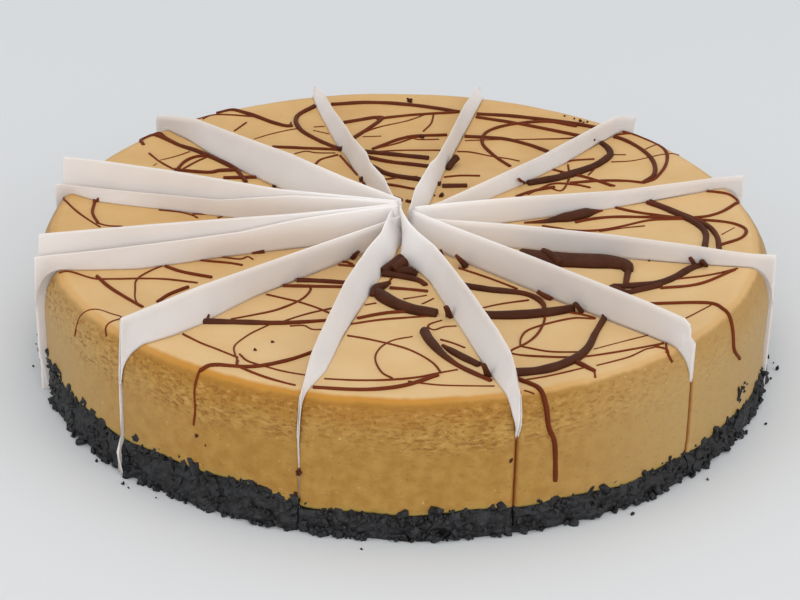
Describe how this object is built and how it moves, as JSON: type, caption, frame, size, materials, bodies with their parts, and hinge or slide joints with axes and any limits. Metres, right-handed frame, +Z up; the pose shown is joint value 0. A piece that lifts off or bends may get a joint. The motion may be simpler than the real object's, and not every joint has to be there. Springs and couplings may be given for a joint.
{
  "type": "sliced cheesecake with parchment dividers",
  "caption": "Round drizzled cheesecake on a dark crumb crust, cut into wedges, with a folded parchment sheet standing in each cut to keep the slices apart.",
  "frame": {"origin": "centre of the flat base", "axes": "+Z up; -Y towards the picture's camera, +X to the right in the picture"},
  "size_m": [0.2581, 0.2585, 0.0581],
  "materials": {
    "cheesecake": "baked caramel cheesecake with a smooth, faintly glossy tan top, a browned golden shoulder, a pitted golden-brown side and dark chocolate drizzle",
    "crust": "pressed chocolate cookie crumb, near black, dull and craggy, with loose crumbs",
    "parchment": "thin off-white parchment paper, soft sheen, slightly see-through, gently wavy"
  },
  "bodies": {
    "root": {"slice_01_cheesecake": "cheesecake", "slice_02_cheesecake": "cheesecake", "slice_03_cheesecake": "cheesecake", "slice_04_cheesecake": "cheesecake", "slice_05_cheesecake": "cheesecake", "slice_06_cheesecake": "cheesecake", "slice_07_cheesecake": "cheesecake", "slice_08_cheesecake": "cheesecake", "slice_09_cheesecake": "cheesecake", "slice_10_cheesecake": "cheesecake", "slice_11_cheesecake": "cheesecake", "slice_12_cheesecake": "cheesecake", "slice_01_crust": "crust", "slice_02_crust": "crust", "slice_03_crust": "crust", "slice_04_crust": "crust", "slice_05_crust": "crust", "slice_06_crust": "crust", "slice_07_crust": "crust", "slice_08_crust": "crust", "slice_09_crust": "crust", "slice_10_crust": "crust", "slice_11_crust": "crust", "slice_12_crust": "crust", "divider_01": "parchment", "divider_02": "parchment", "divider_03": "parchment", "divider_04": "parchment", "divider_05": "parchment", "divider_06": "parchment", "divider_07": "parchment", "divider_08": "parchment", "divider_09": "parchment", "divider_10": "parchment", "divider_11": "parchment", "divider_12": "parchment"}
  },
  "joints": []
}
